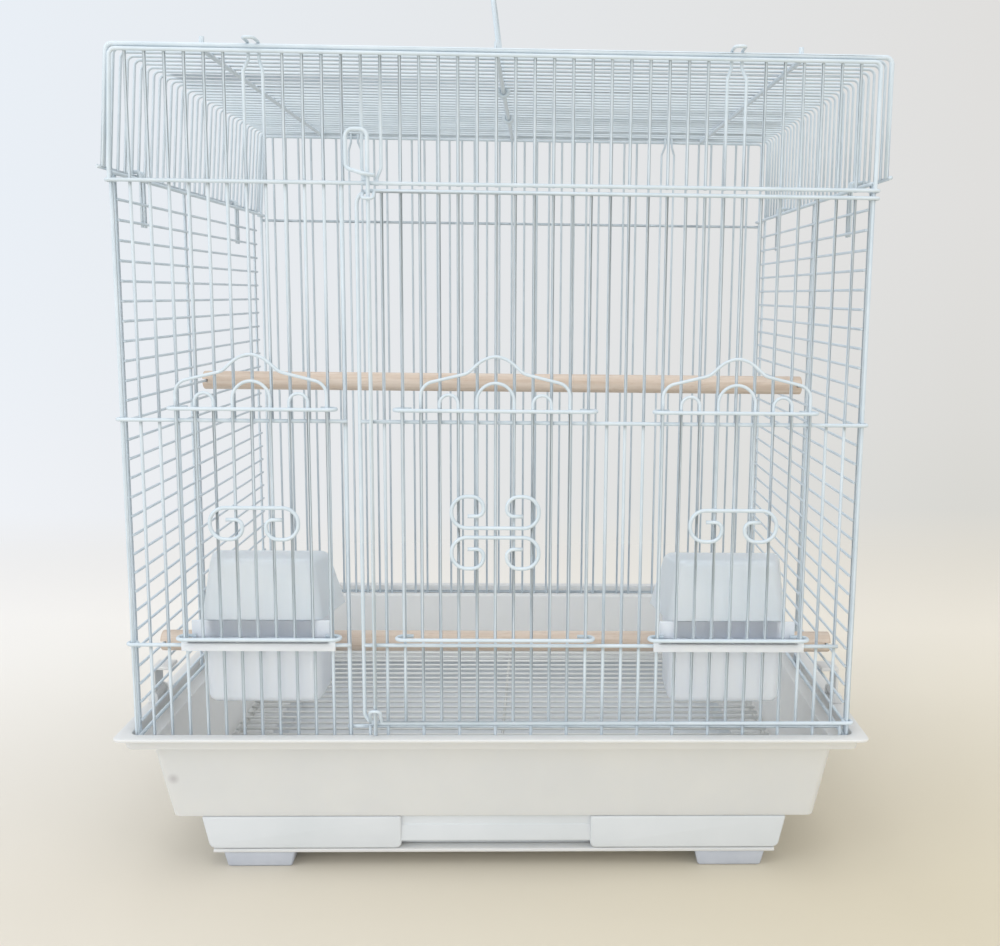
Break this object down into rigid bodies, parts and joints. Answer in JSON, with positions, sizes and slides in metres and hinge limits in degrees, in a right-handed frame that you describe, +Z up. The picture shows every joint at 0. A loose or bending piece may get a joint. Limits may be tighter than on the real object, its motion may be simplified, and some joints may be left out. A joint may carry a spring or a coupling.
{
  "type": "bird cage",
  "caption": "Box-shaped wire bird cage on a moulded tray, with a slide-out drawer, hinged front door, lifting feeder doors, hooded seed cups, dowel perches and a bail handle.",
  "frame": {"origin": "centre of the overall footprint, on the table under the feet", "axes": "+X to the viewer's right along the front, +Y from the front panel to the back panel, +Z up"},
  "size_m": [0.484, 0.3804, 0.6054],
  "materials": {
    "coated_wire": "pale blue powder coat over steel wire",
    "tray_plastic": "smooth moulded warm off-white",
    "drawer_plastic": "smooth moulded warm off-white",
    "foot_plastic": "pale lavender, slightly soft sheen",
    "cup_plastic": "translucent lavender moulding",
    "hood_plastic": "clear with a faint lavender tint",
    "perch_wood": "plain pale beech dowel",
    "clip_plastic": "pale moulded plastic"
  },
  "bodies": {
    "cage": {"base_tray": "tray_plastic", "foot_front_left": "foot_plastic", "foot_front_right": "foot_plastic", "foot_rear_left": "foot_plastic", "foot_rear_right": "foot_plastic", "floor_grille": "coated_wire", "front_frame": "coated_wire", "left_side_panel": "coated_wire", "right_side_panel": "coated_wire", "back_panel": "coated_wire", "roof_panel": "coated_wire", "upper_perch": "perch_wood", "lower_perch": "perch_wood", "left_cup": "cup_plastic", "left_hood": "hood_plastic"},
    "drawer": {"drawer": "drawer_plastic"},
    "door": {"front_door": "coated_wire", "right_cup": "cup_plastic", "right_hood": "hood_plastic"},
    "latch": {"latch_pin": "coated_wire"},
    "left_feeder": {"left_feeder_door": "coated_wire"},
    "middle_door": {"center_door": "coated_wire"},
    "right_feeder": {"right_feeder_door": "coated_wire"},
    "handle": {"carry_handle": "coated_wire"},
    "left_side_clip": {"left_clip": "clip_plastic"},
    "right_side_clip": {"right_clip": "clip_plastic"}
  },
  "joints": [
    {"name": "drawer_slide", "type": "slide", "parent": "cage", "child": "drawer", "axis": [0, -1, 0], "range_m": [0, 0.28]},
    {"name": "door_hinge", "type": "hinge", "parent": "cage", "child": "door", "pos_m": [0.23, -0.17735, 0.3], "axis": [0, 0, 1], "range_deg": [0, 110]},
    {"name": "latch_lift", "type": "slide", "parent": "door", "child": "latch", "axis": [0, 0, 1], "range_m": [0, 0.04]},
    {"name": "left_feeder_lift", "type": "slide", "parent": "cage", "child": "left_feeder", "axis": [0, 0, 1], "range_m": [0, 0.125]},
    {"name": "middle_door_lift", "type": "slide", "parent": "door", "child": "middle_door", "axis": [0, 0, 1], "range_m": [0, 0.125]},
    {"name": "right_feeder_lift", "type": "slide", "parent": "door", "child": "right_feeder", "axis": [0, 0, 1], "range_m": [0, 0.125]},
    {"name": "handle_swing", "type": "hinge", "parent": "cage", "child": "handle", "pos_m": [0, 0, 0.5245], "axis": [0, 1, 0], "range_deg": [-73, 87]},
    {"name": "left_clip_hinge", "type": "hinge", "parent": "cage", "child": "left_side_clip", "pos_m": [-0.2375, -0.11625, 0.1062], "axis": [0, -1, 0], "range_deg": [0, 80]},
    {"name": "right_clip_hinge", "type": "hinge", "parent": "cage", "child": "right_side_clip", "pos_m": [0.2375, -0.11625, 0.1062], "axis": [0, 1, 0], "range_deg": [0, 80]}
  ]
}
